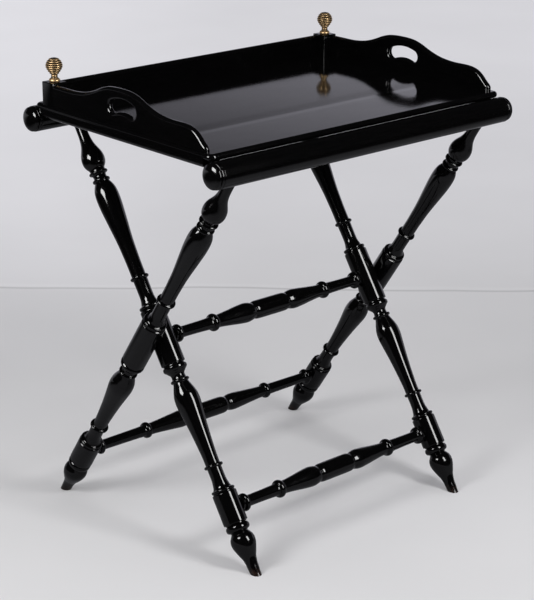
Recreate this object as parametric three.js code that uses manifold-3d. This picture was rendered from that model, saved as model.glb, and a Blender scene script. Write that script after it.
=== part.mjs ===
// Butler tray on a folding stand. The tray is a board with a gallery on three sides, and it lies on
// the two rails of a stand made of two crossed frames that turn on each other.
// Millimetres, +Z up, +X along the rails, the open side of the tray towards -Y. The origin is on the
// floor under the pivot.
import * as THREE from "three";
import { mergeVertices } from "three/addons/utils/BufferGeometryUtils.js";
import Module from "manifold-3d";

const wasm = await Module();
wasm.setup();

// Stand
const railReach = 12.1; // a rail runs this far past each end of the board
const railRadius = 24.7;
const railHeight = 785.6; // floor to the axis of a rail
const railOutset = 13.5; // middle of the board's round edge to the axis of the rail that it lies on
const footOutset = 3.4; // the feet stand this much further apart than the rails, on each side
const outerLegInset = 63; // end of a rail to the axis of an outer leg
const blockRadius = 23.7; // the turned blocks that take the stretchers
const lowerBlockAt = 131.8; // along the leg, from the floor to the lower stretcher
const lowerBlockLength = 60.6;
const pivotBlockLength = 111;
const pivotBlockRise = 2.2; // the middle of the pivot block lies this far past the pivot
const pivotFlat = 23.05; // axis of a leg to the flat that slides on the other leg
const pivotFlatReach = 20; // the flat runs this far past each end of the pivot block
const legTopRadius = 10.4;
const legTenonDepth = 22; // into the rail
const stretcherTenonRadius = 9.5;
const stretcherTenonDepth = 26; // into the blocks of the legs
const pivotPinRadius = 8; // the ends of the pivot stretcher that the outer legs turn on
const pivotPinDepth = 28; // into the outer leg

// Tray
const boardLength = 735.8;
const boardWidth = 513;
const boardThickness = 12.6;
const boardCorner = 12; // corner radius in plan
const cleatHeight = 14.2;
const cleatWidth = 38;
const cleatEndGap = 4.5; // end of a cleat to the rail it drops beside
const cleatEdgeRadius = 9;
const galleryThickness = 13;
const galleryHeight = 40;
const gallerySetback = 3.1; // outer face of a side gallery to the end of the board
const galleryBackSetback = 24; // outer face of the back gallery to the back of the board
const toeSetback = 17.5; // toe of a side gallery to the front of the board
const galleryEdgeRadius = 3;
const housingDepth = 1.2; // the galleries and posts are let into the board by this much
const toeRun = 62; // a side gallery rises from its toe to its level edge over this length
const humpHeight = 69; // board to the top of the hand rail
const humpHalfLength = 141;
const humpMiddleY = 1;
const holeLength = 78;
const holeHeight = 23;
const holeMiddleHeight = 38.5; // board to the middle of the handhole
const holeMiddleY = -8;
const holeBow = 5; // the handhole's ends lie this much lower than its middle
const postWidth = 33.4;
const postHeight = 43;
const postChamfer = 1.5;
const tongueThickness = 6;
const tongueDepth = 10;
const tongueDrop = 8; // top of the gallery to the top of its tongue

// Finial
const finialHeight = 44.5;
const finialRadius = 16.4;
const finialStudRadius = 3;
const finialStudLength = 18;
const finialRibs = 9;

// Screws that hold the cleats
const screwHeadRadius = 4.2;
const screwHeadHeight = 3;
const screwShankRadius = 2.2;
const screwGrip = 7; // into the board
const screwsPerCleat = 3;

// Clearances
const seatGap = 0.3; // between pieces fixed to each other
const runGap = 0.3; // between pieces that turn on each other
const overrun = 6; // cutters run this far past what they cut

const legSides = 12;
const stretcherSides = 10;
const railSides = 16;
const finialSides = 12;
const screwSides = 6;
const boreSides = 12;

// Places worked out from the sizes above
const edgeRadius = boardThickness / 2;
const lipY = boardWidth / 2 - edgeRadius; // middle of the round edge that lies on a rail
const railLength = boardLength + 2 * railReach;
const railSpread = lipY + railOutset; // middle of the stand to the axis of a rail
const footSpread = railSpread + footOutset; // middle of the stand to the middle of a foot
const outerLegX = railLength / 2 - outerLegInset;
const innerLegX = outerLegX - 2 * pivotFlat - runGap;
const tilt = Math.atan2(railSpread + footSpread, railHeight);
const legLength = Math.hypot(railSpread + footSpread, railHeight); // floor to the axis of the rail
const legTop = legLength - railRadius + legTenonDepth;
const pivotAt = footSpread / Math.sin(tilt);
const pivotHeight = footSpread / Math.tan(tilt);
const lowerBlockFrom = lowerBlockAt - lowerBlockLength / 2;
const lowerBlockTo = lowerBlockAt + lowerBlockLength / 2;
const pivotBlockFrom = pivotAt + pivotBlockRise - pivotBlockLength / 2;
const pivotBlockTo = pivotAt + pivotBlockRise + pivotBlockLength / 2;
const lipReach = railRadius + edgeRadius + seatGap;
const boardTop = railHeight + Math.sqrt(lipReach ** 2 - railOutset ** 2) + edgeRadius;
const cleatUnder = -boardThickness - seatGap - cleatHeight; // below the top of the board
const cleatDrop = boardTop + cleatUnder - railHeight;
const cleatHalfLength = railSpread - Math.sqrt(railRadius ** 2 - cleatDrop ** 2) - cleatEndGap;
const galleryX = boardLength / 2 - gallerySetback; // outer face of a side gallery
const galleryBackY = boardWidth / 2 - galleryBackSetback; // outer face of the back gallery
const galleryFrontY = boardWidth / 2 - toeSetback; // toe of a side gallery
const postX = galleryX - postWidth / 2;
const postY = galleryBackY - postWidth / 2;
const postFrontY = galleryBackY - postWidth;
const tongueTop = galleryHeight - tongueDrop;

// Turned outlines, from the low end up. A curve passes through its points, [share of the run, share
// of the block's radius]. A bead swells from its foot to its peak between two shares of the run.
const footShares = [
  { curve: [[0, 0.42], [0.2, 0.47], [0.32, 0.57], [0.48, 0.85], [0.6, 0.99], [0.7, 0.97], [0.785, 0.78]] },
  { curve: [[0.83, 0.68]] },
  { bead: [0.85, 0.97, 0.83, 0.98], steps: 2 },
];
const lowerVaseShares = [
  { bead: [0.006, 0.03, 0.89, 0.966], steps: 2 },
  { curve: [[0.038, 0.73], [0.075, 0.61], [0.188, 0.586]] },
  { bead: [0.191, 0.219, 0.6, 0.78], steps: 2 },
  { curve: [[0.33, 0.627], [0.45, 0.726], [0.58, 0.88], [0.7, 1.017], [0.77, 0.93], [0.82, 0.75]] },
  { bead: [0.853, 0.88, 0.62, 0.78], steps: 2 },
  { curve: [[0.9, 0.557]] },
  { bead: [0.93, 0.985, 0.8, 1], steps: 2 },
];
const upperVaseShares = [
  { bead: [0.006, 0.023, 0.89, 0.966], steps: 2 },
  { curve: [[0.034, 0.67], [0.058, 0.586]] },
  { bead: [0.149, 0.166, 0.6, 0.776], steps: 2 },
  { curve: [[0.28, 0.62], [0.37, 0.71], [0.47, 0.872], [0.55, 0.956], [0.595, 0.92], [0.633, 0.64]] },
  { bead: [0.639, 0.653, 0.62, 0.73], steps: 2 },
  { curve: [[0.666, 0.527]] },
  { bead: [0.679, 0.693, 0.6, 0.78], steps: 2 },
  { curve: [[0.7046, 0.645], [0.722, 0.85], [0.75, 0.954], [0.785, 0.84], [0.818, 0.61], [0.855, 0.475]] },
];

// Stretchers, from the middle out to the leg's block, in shares of that half and of the same radius
const stretcherShares = [
  { curve: [[0, 0.775], [0.148, 0.765]] },
  { curve: [[0.184, 0.665], [0.21, 0.755], [0.25, 0.83], [0.3, 0.815], [0.38, 0.72], [0.54, 0.545]] },
  { bead: [0.568, 0.619, 0.55, 0.74], steps: 2 },
  { curve: [[0.66, 0.49], [0.92, 0.47]] },
  { bead: [0.936, 0.974, 0.56, 0.745], steps: 2 },
  { curve: [[0.992, 0.57]] },
];
const rearStretcherShares = [
  { curve: [[0, 0.765], [0.14, 0.76]] },
  { curve: [[0.175, 0.63], [0.2, 0.71], [0.24, 0.765], [0.28, 0.752], [0.36, 0.66], [0.515, 0.52]] },
  { bead: [0.537, 0.579, 0.53, 0.71], steps: 2 },
  { curve: [[0.615, 0.48], [0.935, 0.445]] },
  { bead: [0.95, 0.981, 0.53, 0.72], steps: 2 },
  { curve: [[0.993, 0.55]] },
];

// The end of a rail, in shares of its radius, inward from the tip
const railEndShares = [
  [0, 0.2], [0.06, 0.55], [0.2, 0.82], [0.4, 0.96], [0.46, 0.87], [0.54, 0.96], [0.66, 1], [0.74, 0.95],
  [0.8, 1],
];

// The toe of a side gallery, in shares of its run and of the level edge's height
const toeShares = [
  [0, 0.13], [0.02, 0.2], [0.084, 0.285], [0.186, 0.426], [0.303, 0.606], [0.434, 0.767], [0.578, 0.888],
  [0.771, 0.968], [1, 1],
];

// The hump, from its middle out, in shares of its half length and of its rise
const humpShares = [[0, 1], [0.18, 0.955], [0.34, 0.8], [0.5, 0.5], [0.66, 0.24], [0.82, 0.07], [1, 0]];

// A finial, in shares of its height and its radius, up to where its ribs start
const finialShares = [
  [0, 0.78], [0.05, 0.8], [0.08, 0.7], [0.12, 0.5], [0.18, 0.34], [0.25, 0.38], [0.31, 0.48], [0.38, 0.66],
];
const ribGrooveShare = 0.07; // depth of the groove between two ribs
const ribTopShare = 0.4; // radius where the ribs end
const ribSwellShare = 0.64; // height of the widest rib

// Materials
const ebony = () => new THREE.MeshStandardMaterial({ color: 0x0b0b0d, roughness: 0.12, metalness: 0 });
const brass = () => new THREE.MeshStandardMaterial({ color: 0xd9a95b, roughness: 0.22, metalness: 1 });
const steel = () => new THREE.MeshStandardMaterial({ color: 0x5c5c60, roughness: 0.4, metalness: 1 });

// Solids: closed geometry in, geometry out, with cuts and joins between
function toSolid(geometry) {
  const bare = new THREE.BufferGeometry();
  bare.setAttribute("position", geometry.getAttribute("position").clone());
  bare.setIndex(geometry.getIndex() && geometry.getIndex().clone());
  const merged = mergeVertices(bare);
  const index = merged.getIndex().array;
  const faces = [];
  for (let i = 0; i < index.length; i += 3) {
    const [a, b, c] = [index[i], index[i + 1], index[i + 2]];
    if (a !== b && b !== c && c !== a) faces.push(a, b, c);
  }
  const vertProperties = new Float32Array(merged.getAttribute("position").array);
  const triVerts = new Uint32Array(faces);
  return new wasm.Manifold(new wasm.Mesh({ numProp: 3, vertProperties, triVerts }));
}

function toGeometry(solid) {
  const mesh = solid.getMesh();
  const geometry = new THREE.BufferGeometry();
  geometry.setAttribute("position", new THREE.BufferAttribute(mesh.vertProperties, 3));
  geometry.setIndex(new THREE.BufferAttribute(mesh.triVerts, 1));
  geometry.computeVertexNormals();
  return geometry;
}

// The real sizes of a turned run between two places, as points [radius, along]
function turn(runs, from, to, radius = blockRadius) {
  const points = [];
  for (const run of runs) {
    if (run.curve) points.push(...run.curve);
    if (run.bead) points.push(...beadPoints(run.bead, run.steps));
  }
  return points.map(([along, share]) => new THREE.Vector2(share * radius, from + along * (to - from)));
}

function beadPoints([from, to, foot, peak], steps) {
  const points = [];
  for (let i = 0; i <= steps; i += 1) {
    const angle = (Math.PI * i) / steps;
    const along = (from + to) / 2 - ((to - from) / 2) * Math.cos(angle);
    points.push([along, foot + (peak - foot) * Math.sin(angle)]);
  }
  return points;
}

// A closed turned solid about Z, from outline points [radius, height] in order up the axis
function lathe(points, sides) {
  const start = new THREE.Vector2(0, points[0].y);
  const end = new THREE.Vector2(0, points[points.length - 1].y);
  return new THREE.LatheGeometry([start, ...points, end], sides).rotateX(Math.PI / 2);
}

// A round cutter about Z whose flats keep the gap all round the pin
function bore(pinRadius, gap, from, to) {
  const radius = (pinRadius + gap) / Math.cos(Math.PI / boreSides);
  const cutter = new THREE.CylinderGeometry(radius, radius, to - from, boreSides);
  return cutter.rotateX(Math.PI / 2).translate(0, 0, (from + to) / 2);
}

const alongX = (geometry) => geometry.rotateY(Math.PI / 2);

function box(fromX, toX, fromY, toY, fromZ, toZ) {
  const shape = new THREE.BoxGeometry(toX - fromX, toY - fromY, toZ - fromZ);
  return shape.translate((fromX + toX) / 2, (fromY + toY) / 2, (fromZ + toZ) / 2);
}

function named(name, geometry, material) {
  const mesh = new THREE.Mesh(geometry, material);
  mesh.name = name;
  return mesh;
}

// Leg: turned about Z from the middle of its foot on the floor, with its blocks bored along X
function legSolid() {
  const footRadius = turn(footShares, 0, lowerBlockFrom)[0].x;
  const outline = [
    new THREE.Vector2(footRadius, -footRadius * Math.tan(tilt) - overrun),
    ...turn(footShares, 0, lowerBlockFrom),
    new THREE.Vector2(blockRadius, lowerBlockFrom),
    new THREE.Vector2(blockRadius, lowerBlockTo),
    ...turn(lowerVaseShares, lowerBlockTo, pivotBlockFrom),
    new THREE.Vector2(blockRadius, pivotBlockFrom),
    new THREE.Vector2(blockRadius, pivotBlockTo),
    ...turn(upperVaseShares, pivotBlockTo, legLength),
    new THREE.Vector2(legTopRadius, legLength - railRadius - 2 * legTopRadius),
    new THREE.Vector2(legTopRadius, legTop),
  ];
  return toSolid(lathe(outline, legSides));
}

// What lies under the floor, seen from a leg that leans over
function underFloor(lean) {
  const reach = footSpread;
  return toSolid(box(-reach, reach, -reach, reach, -reach, 0).rotateX(-lean));
}

// The side of the pivot block that is cut flat, so that two legs can pass
function pivotFlatCut(side) {
  const reach = blockRadius + overrun;
  const [from, to] = [pivotBlockFrom - pivotFlatReach, pivotBlockTo + pivotFlatReach];
  const cut = box(pivotFlat, reach, -reach, reach, from, to);
  return toSolid(side < 0 ? cut.rotateZ(Math.PI) : cut);
}

// A round hole along X that opens towards the middle of the stand
function legBore(side, pinRadius, gap, mouthX, endX, at) {
  const cutter = alongX(bore(pinRadius, gap, mouthX - overrun, endX));
  return toSolid((side < 0 ? cutter.rotateZ(Math.PI) : cutter).translate(0, 0, at));
}

// Legs of the inner frame have their feet in front, those of the outer frame behind
function leg(name, side, isInner) {
  const lean = isInner ? -tilt : tilt;
  const stretcherEnd = stretcherTenonDepth - blockRadius + seatGap;
  const pinGap = isInner ? seatGap : runGap;
  const pinMouth = isInner ? -blockRadius : -pivotFlat;
  const pinEnd = isInner ? blockRadius : pivotPinDepth - pivotFlat + runGap;
  const solid = legSolid()
    .subtract(underFloor(lean))
    .subtract(pivotFlatCut(isInner ? side : -side))
    .subtract(legBore(side, pivotPinRadius, pinGap, pinMouth, pinEnd, pivotAt))
    .subtract(legBore(side, stretcherTenonRadius, seatGap, -blockRadius, stretcherEnd, lowerBlockAt));
  const mesh = named(name, toGeometry(solid), ebony());
  mesh.position.set(side * (isInner ? innerLegX : outerLegX), isInner ? -footSpread : footSpread, 0);
  mesh.rotation.x = lean;
  return mesh;
}

// Stretcher: turned about X, alike on both sides of its middle, with a round tenon at each end
function stretcher(name, shares, halfSpan, tenonRadius, tenonEnd) {
  const half = turn(shares, 0, halfSpan);
  half.push(new THREE.Vector2(tenonRadius, halfSpan));
  half.push(new THREE.Vector2(tenonRadius, tenonEnd));
  const mirrored = half.slice(1).reverse().map((point) => new THREE.Vector2(point.x, -point.y));
  return named(name, alongX(lathe([...mirrored, ...half], stretcherSides)), ebony());
}

// Rail: turned about X with domed ends past a groove and a bead, bored from below for the legs
function rail(name, lean, legX) {
  const half = railEndShares.map(([inward, share]) => (
    new THREE.Vector2(share * railRadius, railLength / 2 - inward * railRadius)
  )).reverse();
  const mirrored = half.slice().reverse().map((point) => new THREE.Vector2(point.x, -point.y));
  let solid = toSolid(alongX(lathe([...mirrored, ...half], railSides)));
  for (const x of [-legX, legX]) {
    const cutter = bore(legTopRadius, seatGap, -railRadius - overrun, legTop - legLength + seatGap);
    solid = solid.subtract(toSolid(cutter.rotateX(lean).translate(x, 0, 0)));
  }
  return named(name, toGeometry(solid), ebony());
}

// Screw about Z from the under side of a cleat, or its hole when it is grown by a gap
function screw(grow) {
  const headRadius = screwHeadRadius + grow;
  const shankRadius = screwShankRadius + grow;
  return lathe([
    new THREE.Vector2(headRadius, grow ? -overrun : 0),
    new THREE.Vector2(headRadius, grow),
    new THREE.Vector2(shankRadius, screwHeadHeight + grow),
    new THREE.Vector2(shankRadius, cleatHeight + seatGap + screwGrip + grow),
  ], screwSides);
}

function screwPlaces(side) {
  const places = [];
  for (let i = 0; i < screwsPerCleat; i += 1) {
    const y = cleatHalfLength * ((2 * i + 1) / screwsPerCleat - 1);
    places.push([side * (boardLength / 2 - cleatWidth / 2), y, cleatUnder]);
  }
  return places;
}

function cutScrewHoles(solid, side) {
  return screwPlaces(side).reduce((cut, place) => (
    cut.subtract(toSolid(screw(seatGap).translate(...place)))
  ), solid);
}

// What is let into the board: a housing for the galleries and the posts, open at the board's ends
function housings() {
  const [innerX, outerX] = [galleryX - galleryThickness - seatGap, galleryX + overrun];
  const postInnerX = galleryX - postWidth - seatGap;
  const [frontY, backY] = [-galleryFrontY - seatGap, galleryBackY + seatGap];
  const cut = (...sides) => toSolid(box(...sides, -housingDepth, overrun));
  return cut(innerX, outerX, frontY, backY)
    .add(cut(-outerX, -innerX, frontY, backY))
    .add(cut(postInnerX, outerX, postFrontY - seatGap, backY))
    .add(cut(-outerX, -postInnerX, postFrontY - seatGap, backY))
    .add(cut(-innerX, innerX, galleryBackY - galleryThickness - seatGap, backY));
}

// Board: half-round edges all round, made square below over the cleats
function board() {
  const corner = boardCorner - edgeRadius;
  const [x, y] = [boardLength / 2 - boardCorner, boardWidth / 2 - boardCorner];
  const quarter = Math.PI / 2;
  const plan = new THREE.Shape();
  plan.absarc(x, y, corner, 0, quarter);
  plan.absarc(-x, y, corner, quarter, 2 * quarter);
  plan.absarc(-x, -y, corner, 2 * quarter, 3 * quarter);
  plan.absarc(x, -y, corner, 3 * quarter, 4 * quarter);
  const slab = new THREE.ExtrudeGeometry(plan, {
    depth: seatGap,
    bevelThickness: edgeRadius - seatGap / 2,
    bevelSize: edgeRadius,
    bevelSegments: 3,
    curveSegments: 3,
  });
  let solid = toSolid(slab.translate(0, 0, -edgeRadius - seatGap / 2));
  for (const side of [-1, 1]) {
    const from = boardLength / 2 - 2 * edgeRadius;
    const under = box(
      from, boardLength / 2, -cleatHalfLength, cleatHalfLength, -boardThickness, -edgeRadius,
    );
    solid = cutScrewHoles(solid.add(toSolid(side < 0 ? under.rotateZ(Math.PI) : under)), side);
  }
  return named("tray_board", toGeometry(solid.subtract(housings())), ebony());
}

// Cleat: a batten under each end of the board that drops between the rails and holds the stand open
function cleat(name, side) {
  const section = new THREE.Shape();
  const roundX = cleatWidth - cleatEdgeRadius;
  section.moveTo(0, 0);
  section.lineTo(roundX, 0);
  section.absarc(roundX, cleatEdgeRadius, cleatEdgeRadius, -Math.PI / 2, 0);
  section.lineTo(cleatWidth, cleatHeight);
  section.lineTo(0, cleatHeight);
  const bar = new THREE.ExtrudeGeometry(section, {
    depth: 2 * cleatHalfLength,
    bevelEnabled: false,
    curveSegments: 4,
  });
  bar.rotateX(Math.PI / 2).translate(boardLength / 2 - cleatWidth, cleatHalfLength, cleatUnder);
  const solid = cutScrewHoles(toSolid(side < 0 ? bar.rotateZ(Math.PI) : bar), side);
  return named(name, toGeometry(solid), ebony());
}

function cleatScrews(name, side) {
  return screwPlaces(side).map((place, i) => {
    const mesh = named(`${name}_${i + 1}`, screw(0), steel());
    mesh.position.set(...place);
    return mesh;
  });
}

// A plate drawn in Y and Z, extruded along X from zero
const standUp = (geometry) => geometry.rotateX(Math.PI / 2).rotateZ(Math.PI / 2);

// The hump's outline as [y, height], from its front end to its back end
function humpPoints() {
  const back = humpShares.map(([along, up]) => (
    [humpMiddleY + along * humpHalfLength, galleryHeight + up * (humpHeight - galleryHeight)]
  ));
  const front = back.slice(1).reverse().map(([y, height]) => [2 * humpMiddleY - y, height]);
  return [...front, ...back];
}

// The handhole: a slot bent along an arc, drawn larger by what the rounded edge takes back
function handhole(grow) {
  const reach = holeHeight / 2 + grow;
  const halfRun = (holeLength - holeHeight) / 2;
  const bend = (halfRun ** 2 + holeBow ** 2) / (2 * holeBow);
  const sweep = Math.asin(halfRun / bend);
  const centreZ = holeMiddleHeight - bend;
  const [low, high] = [Math.PI / 2 - sweep, Math.PI / 2 + sweep];
  const end = (angle) => [holeMiddleY + bend * Math.cos(angle), centreZ + bend * Math.sin(angle)];
  const hole = new THREE.Path();
  hole.absarc(holeMiddleY, centreZ, bend + reach, low, high, false);
  hole.absarc(...end(high), reach, high, high + Math.PI, false);
  hole.absarc(holeMiddleY, centreZ, bend - reach, high, low, true);
  hole.absarc(...end(low), reach, low + Math.PI, low + 2 * Math.PI, false);
  return hole;
}

// Side gallery: curved toe, level edge and hump, rounded along its edges, with a handhole, and a
// tongue that enters the corner post
function sideGallery(name, side) {
  const round = galleryEdgeRadius;
  const [toeY, levelZ] = [round - galleryFrontY, galleryHeight - round];
  const endY = postFrontY + overrun;
  const plan = new THREE.Shape();
  plan.moveTo(toeY, -overrun);
  for (const [along, up] of toeShares) plan.lineTo(toeY + along * (toeRun - round), up * levelZ);
  for (const [y, height] of humpPoints()) plan.lineTo(y, height - round);
  plan.lineTo(endY, levelZ);
  plan.lineTo(endY, -overrun);
  plan.holes.push(handhole(round));
  const plate = new THREE.ExtrudeGeometry(plan, {
    depth: galleryThickness - 2 * round,
    bevelThickness: round,
    bevelSize: round,
    bevelSegments: 2,
    curveSegments: 4,
  });
  standUp(plate).translate(galleryX - galleryThickness + round, 0, seatGap);
  const middleX = galleryX - galleryThickness / 2;
  const [fromX, toX] = [galleryX - galleryThickness - overrun, galleryX + overrun];
  const bottom = seatGap - housingDepth;
  const kept = box(
    fromX, toX, -galleryFrontY - overrun, postFrontY - seatGap, bottom, humpHeight + overrun,
  );
  const tongue = box(
    middleX - tongueThickness / 2, middleX + tongueThickness / 2,
    postFrontY - overrun, postFrontY + tongueDepth, bottom, seatGap + tongueTop,
  );
  const solid = toSolid(plate).intersect(toSolid(kept)).add(toSolid(tongue));
  return named(name, toGeometry(side < 0 ? solid.mirror([1, 0, 0]) : solid), ebony());
}

// Back gallery: level between the corner posts, with a tongue into each
function backGallery() {
  const endX = postX - postWidth / 2 - seatGap;
  const [round, frontY] = [galleryEdgeRadius, galleryBackY - galleryThickness];
  const section = new THREE.Shape();
  section.moveTo(frontY, -housingDepth);
  section.lineTo(galleryBackY, -housingDepth);
  section.absarc(galleryBackY - round, galleryHeight - round, round, 0, Math.PI / 2);
  section.absarc(frontY + round, galleryHeight - round, round, Math.PI / 2, Math.PI);
  const bar = new THREE.ExtrudeGeometry(section, {
    depth: 2 * endX,
    bevelEnabled: false,
    curveSegments: 4,
  });
  const middleY = galleryBackY - galleryThickness / 2;
  const tongueX = endX + seatGap + tongueDepth;
  const [fromY, toY] = [middleY - tongueThickness / 2, middleY + tongueThickness / 2];
  const tongue = box(-tongueX, tongueX, fromY, toY, -housingDepth, tongueTop);
  const solid = toSolid(standUp(bar).translate(-endX, 0, 0)).add(toSolid(tongue));
  const mesh = named("back_gallery", toGeometry(solid), ebony());
  mesh.position.z = seatGap;
  return mesh;
}

// Corner post: square, with a chamfered top, mortised for both galleries and bored for the finial
function cornerPost(name, side) {
  const half = postWidth / 2;
  const outline = [
    new THREE.Vector2(half * Math.SQRT2, -housingDepth),
    new THREE.Vector2(half * Math.SQRT2, postHeight - postChamfer),
    new THREE.Vector2((half - postChamfer) * Math.SQRT2, postHeight),
  ];
  const wide = tongueThickness / 2 + seatGap;
  const deep = tongueDepth + seatGap;
  const middle = half - galleryThickness / 2;
  const high = tongueTop + seatGap;
  const sideMortise = box(middle - wide, middle + wide, -half - overrun, -half + deep, -overrun, high);
  const backMortise = box(-half - overrun, -half + deep, middle - wide, middle + wide, -overrun, high);
  const studBore = bore(finialStudRadius, seatGap, postHeight - finialStudLength, postHeight + overrun);
  const solid = toSolid(lathe(outline, 4).rotateZ(Math.PI / 4))
    .subtract(toSolid(sideMortise))
    .subtract(toSolid(backMortise))
    .subtract(toSolid(studBore));
  const mesh = named(name, toGeometry(side < 0 ? solid.mirror([1, 0, 0]) : solid), ebony());
  mesh.position.set(side * postX, postY, seatGap);
  return mesh;
}

// Finial: a turned brass knob with a stud below, and ribs round its upper part
function ribRadiusShare(share) {
  const start = finialShares[finialShares.length - 1];
  if (share < ribSwellShare) {
    const below = (ribSwellShare - share) / (ribSwellShare - start[0]);
    return 1 - (1 - start[1]) * below ** 2;
  }
  const above = (share - ribSwellShare) / (1 - ribSwellShare);
  return Math.sqrt(1 - (1 - ribTopShare ** 2) * above ** 2);
}

function finial(name, side) {
  const start = finialShares[finialShares.length - 1][0];
  const outline = [
    new THREE.Vector2(finialStudRadius, -finialStudLength),
    new THREE.Vector2(finialStudRadius, 0),
    ...turn([{ curve: finialShares }], 0, finialHeight, finialRadius),
  ];
  for (let i = 0; i < finialRibs; i += 1) {
    const peak = start + ((1 - start) * (i + 0.5)) / finialRibs;
    const groove = start + ((1 - start) * (i + 1)) / finialRibs;
    const points = [[peak, ribRadiusShare(peak)], [groove, ribRadiusShare(groove) - ribGrooveShare]];
    outline.push(...turn([{ curve: points }], 0, finialHeight, finialRadius));
  }
  const mesh = named(name, lathe(outline, finialSides), brass());
  mesh.position.set(side * postX, postY, postHeight + 2 * seatGap);
  return mesh;
}

// Inner frame: feet in front, rail behind
const innerFrame = new THREE.Group();
const frontY = lowerBlockAt * Math.sin(tilt) - footSpread;
const stretcherZ = lowerBlockAt * Math.cos(tilt);
const innerSpan = innerLegX - blockRadius;
const frontStretcher = stretcher(
  "front_stretcher", stretcherShares, innerSpan, stretcherTenonRadius, innerSpan + stretcherTenonDepth,
);
frontStretcher.position.set(0, frontY, stretcherZ);
const pivotStretcher = stretcher(
  "pivot_stretcher", stretcherShares, innerSpan, pivotPinRadius, outerLegX - pivotFlat + pivotPinDepth,
);
pivotStretcher.position.set(0, 0, pivotHeight);
const backRail = rail("back_rail", -tilt, innerLegX);
backRail.position.set(0, railSpread, railHeight);
innerFrame.add(leg("inner_leg_left", -1, true), leg("inner_leg_right", 1, true));
innerFrame.add(frontStretcher, pivotStretcher, backRail);

// Outer frame: feet behind, rail in front, turning on the ends of the pivot stretcher
const outerFrame = new THREE.Group();
const outerSpan = outerLegX - blockRadius;
const rearStretcher = stretcher(
  "rear_stretcher", rearStretcherShares, outerSpan, stretcherTenonRadius, outerSpan + stretcherTenonDepth,
);
rearStretcher.position.set(0, -frontY, stretcherZ);
const frontRail = rail("front_rail", tilt, outerLegX);
frontRail.position.set(0, -railSpread, railHeight);
outerFrame.add(leg("outer_leg_left", -1, false), leg("outer_leg_right", 1, false));
outerFrame.add(rearStretcher, frontRail);

// Tray: everything that lifts off, placed from the top face of its board
const tray = new THREE.Group();
tray.position.z = boardTop;
tray.add(board(), cleat("cleat_left", -1), cleat("cleat_right", 1), backGallery());
tray.add(...cleatScrews("cleat_screw_left", -1), ...cleatScrews("cleat_screw_right", 1));
tray.add(sideGallery("side_gallery_left", -1), sideGallery("side_gallery_right", 1));
tray.add(cornerPost("corner_post_left", -1), cornerPost("corner_post_right", 1));
tray.add(finial("finial_left", -1), finial("finial_right", 1));

const group = new THREE.Group();
group.add(innerFrame, outerFrame, tray);

export default group;
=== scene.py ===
import math

import bmesh
import bpy
from mathutils import Matrix, Vector
from mathutils.geometry import tessellate_polygon


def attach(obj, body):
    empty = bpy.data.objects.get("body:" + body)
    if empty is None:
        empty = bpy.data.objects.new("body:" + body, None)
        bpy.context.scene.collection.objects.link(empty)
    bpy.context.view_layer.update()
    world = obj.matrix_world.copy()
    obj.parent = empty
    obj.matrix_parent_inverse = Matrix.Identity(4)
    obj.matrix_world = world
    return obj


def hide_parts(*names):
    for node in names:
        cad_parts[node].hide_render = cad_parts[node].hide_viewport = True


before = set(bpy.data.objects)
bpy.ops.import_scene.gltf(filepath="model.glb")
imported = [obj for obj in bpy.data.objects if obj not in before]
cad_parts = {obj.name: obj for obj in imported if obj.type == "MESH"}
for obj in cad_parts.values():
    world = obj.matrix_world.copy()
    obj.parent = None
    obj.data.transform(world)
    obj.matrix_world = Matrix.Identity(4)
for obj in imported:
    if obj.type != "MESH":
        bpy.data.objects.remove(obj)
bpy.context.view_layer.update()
MM = 0.001

# Sizes of the CAD model in millimetres. X runs along the rails, +Y to the back gallery, +Z up.
# Stand: a spread is a distance along Y from the middle of the stand.
RAIL_RADIUS, RAIL_HALF, RAIL_SPREAD, RAIL_HEIGHT = 24.7, 380.0, 263.7, 785.6
FOOT_SPREAD, INNER_X, OUTER_X = 267.1, 270.6, 317.0
LEG_TOP = 945.4
STRETCHER_AT = 131.8  # along a leg, from the floor to the lower stretchers
STRETCHER_TENON, TENON_REACH = 9.5, 2.3  # radius, and how far it runs past the axis of its leg
PIVOT_PIN, PIVOT_REACH = 8.0, 321.9  # radius, and its ends from the middle of the stand
PIVOT_FLAT = 23.05  # axis of a leg to the flat that slides on the other leg
PIVOT_BLOCK = (403, 556)  # the stretch of a leg that the flat may cut
TILT = math.atan2(RAIL_SPREAD + FOOT_SPREAD, RAIL_HEIGHT)
PIVOT_HEIGHT = FOOT_SPREAD / math.tan(TILT)
STRETCHER_Y = FOOT_SPREAD - STRETCHER_AT * math.sin(TILT)
STRETCHER_Z = STRETCHER_AT * math.cos(TILT)

# Tray: heights are measured from the top face of its board.
BOARD_TOP = 820.139
BOARD_X, BOARD_Y, BOARD_THICK, BOARD_CORNER = 367.9, 256.5, 12.6, 12.0
HOUSING = 1.2  # depth of the CAD board's housings, in which the galleries and posts stand
SEAT = 0.3  # gap between pieces fixed to each other
BUTT = 0.05  # gap between the end of a gallery and its post
GALLERY_X, GALLERY_THICK, GALLERY_HIGH, GALLERY_ROUND = 364.8, 13.0, 40.0, 5.6
GALLERY_BACK, GALLERY_FRONT = 232.5, 239.0
HUMP_HIGH, HUMP_HALF, HUMP_Y = 69.0, 141.0, 1.0
HOLE_LONG, HOLE_HIGH, HOLE_MIDDLE, HOLE_BOW, HOLE_Y = 78.0, 23.0, 38.5, 5.0, -8.0
POST_WIDE, POST_HIGH, POST_ROUND, POST_TOP_ROUND = 33.4, 43.0, 0.55, 1.4
POST_X, POST_Y = GALLERY_X - POST_WIDE / 2, GALLERY_BACK - POST_WIDE / 2
CLEAT_HIGH, CLEAT_WIDE, CLEAT_HALF, CLEAT_ROUND, CLEAT_EASE = 14.2, 38.0, 235.6, 9.0, 1.0
CLEAT_LOW = -BOARD_THICK - SEAT - CLEAT_HIGH
GALLERY_TOP = GALLERY_HIGH + SEAT
SCREWS_PER_CLEAT = 3

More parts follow.
